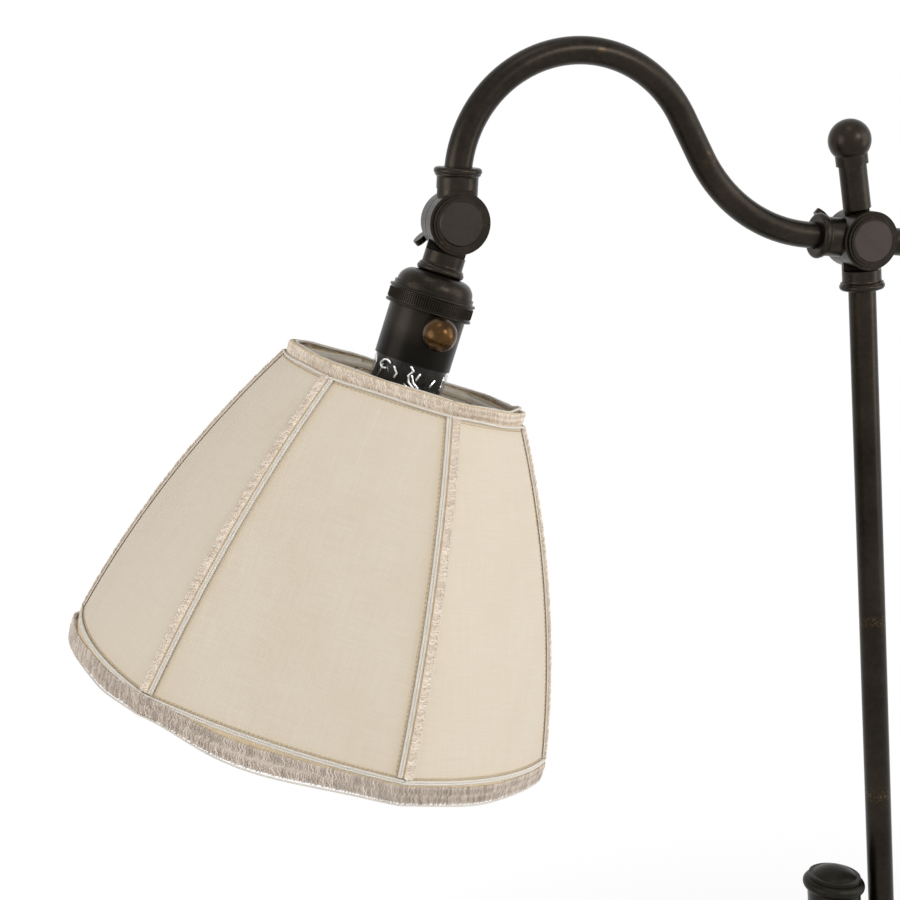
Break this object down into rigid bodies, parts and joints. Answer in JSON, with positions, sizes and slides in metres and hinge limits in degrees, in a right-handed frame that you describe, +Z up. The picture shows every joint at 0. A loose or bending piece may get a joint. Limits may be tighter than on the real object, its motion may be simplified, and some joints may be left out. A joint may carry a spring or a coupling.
{
  "type": "student lamp",
  "caption": "Adjustable student lamp with a weighted round base, sliding post, curved swing arm, swivel joints and a tilting panelled cloth shade on a switched socket.",
  "frame": {"origin": "centre of the base's underside, on the column's axis, where the felt meets the table", "axes": "+Z up along the column and the post; the arm and the shade reach towards -X; the pivots turn about Y and their flat covers face -Y, the front"},
  "size_m": [0.4217, 0.2026, 0.5761],
  "materials": {
    "felt": "dense dark felt",
    "iron": "raw casting",
    "bronze": "dark brown patina on brass, satin, with thin golden wear on edges",
    "worn_face": "the same patina worn paler and pinkish on the flat discs",
    "steel": "plain zinc-grey wire and fasteners",
    "phenolic": "dark moulded insulation",
    "liner": "black insulating tube with a soft sheen",
    "brass": "bright brass",
    "aged_brass": "brown aged brass, glossy from handling",
    "clear_film": "crinkled clear film",
    "bulb_glass": "inside-frosted glass",
    "shade_cloth": "stretched fine-woven silk-like cloth over a lining",
    "gimp_braid": "woven gimp with two pale cords"
  },
  "bodies": {
    "base": {"felt_pad": "felt", "base_weight": "iron", "base_cover": "bronze", "cord_bushing": "phenolic", "base_washer": "steel", "base_nut": "steel", "lamp_pipe": "steel", "column_foot": "bronze", "column": "bronze", "rest_ring": "bronze", "column_cap": "bronze"},
    "bracket": {"bracket": "bronze"},
    "post_screw": {"post_screw": "bronze"},
    "column_screw": {"column_screw": "bronze"},
    "post": {"post": "bronze", "post_stop": "bronze"},
    "hub": {"hub_rear": "bronze", "finial": "bronze"},
    "arm": {"hub_front": "bronze", "hub_cover": "worn_face", "hub_bolt": "steel", "hub_washer": "phenolic", "tail_finial": "bronze", "arm_tube": "bronze", "knuckle_front": "bronze", "knuckle_cover": "worn_face", "knuckle_bolt": "steel", "knuckle_washer": "phenolic"},
    "hub_nut": {"hub_wing_nut": "bronze"},
    "knuckle_nut": {"knuckle_wing_nut": "bronze"},
    "shade": {"knuckle_rear": "bronze", "socket_cap": "bronze", "socket_ring": "bronze", "socket_shell": "bronze", "socket_liner": "liner", "socket_body": "phenolic", "screw_shell": "brass", "centre_contact": "brass", "film_sleeve": "clear_film", "bulb_cap": "brass", "bulb_glass": "bulb_glass", "shade_frame": "steel", "shade_fitter": "steel", "shade_nut": "phenolic", "shade_cloth": "shade_cloth", "rib_braid": "gimp_braid", "rim_braid": "gimp_braid"},
    "knob": {"switch_shaft": "brass", "switch_knob": "aged_brass"}
  },
  "joints": [
    {"name": "bracket_swivel", "type": "hinge", "parent": "base", "child": "bracket", "pos_m": [0, 0, 0.149], "axis": [0, 0, 1], "range_deg": [-170, 170]},
    {"name": "post_slide", "type": "slide", "parent": "bracket", "child": "post", "axis": [0, 0, 1], "range_m": [-0.045, 0.038]},
    {"name": "hub_swivel", "type": "hinge", "parent": "post", "child": "hub", "pos_m": [0.0243, 0, 0.46], "axis": [0, 0, 1], "range_deg": [-170, 170]},
    {"name": "arm_tilt", "type": "hinge", "parent": "hub", "child": "arm", "pos_m": [0.0243, 0, 0.48], "axis": [0, 1, 0], "range_deg": [-22, 14]},
    {"name": "shade_tilt", "type": "hinge", "parent": "arm", "child": "shade", "pos_m": [-0.15507, 0, 0.50818], "axis": [0, -1, 0], "range_deg": [-60, 20]},
    {"name": "knob_turn", "type": "hinge", "parent": "shade", "child": "knob", "pos_m": [-0.17229, 0, 0.4684], "axis": [0, -1, 0], "continuous": true},
    {"name": "hub_nut_turn", "type": "hinge", "parent": "arm", "child": "hub_nut", "pos_m": [0.0243, 0, 0.48], "axis": [0, 1, 0], "continuous": true},
    {"name": "knuckle_nut_turn", "type": "hinge", "parent": "arm", "child": "knuckle_nut", "pos_m": [-0.15507, 0, 0.50818], "axis": [0, 1, 0], "continuous": true},
    {"name": "post_screw_turn", "type": "hinge", "parent": "bracket", "child": "post_screw", "pos_m": [0.0243, 0, 0.149], "axis": [1, 0, 0], "continuous": true},
    {"name": "column_screw_turn", "type": "hinge", "parent": "bracket", "child": "column_screw", "pos_m": [0, 0, 0.149], "axis": [0, 1, 0], "continuous": true}
  ]
}
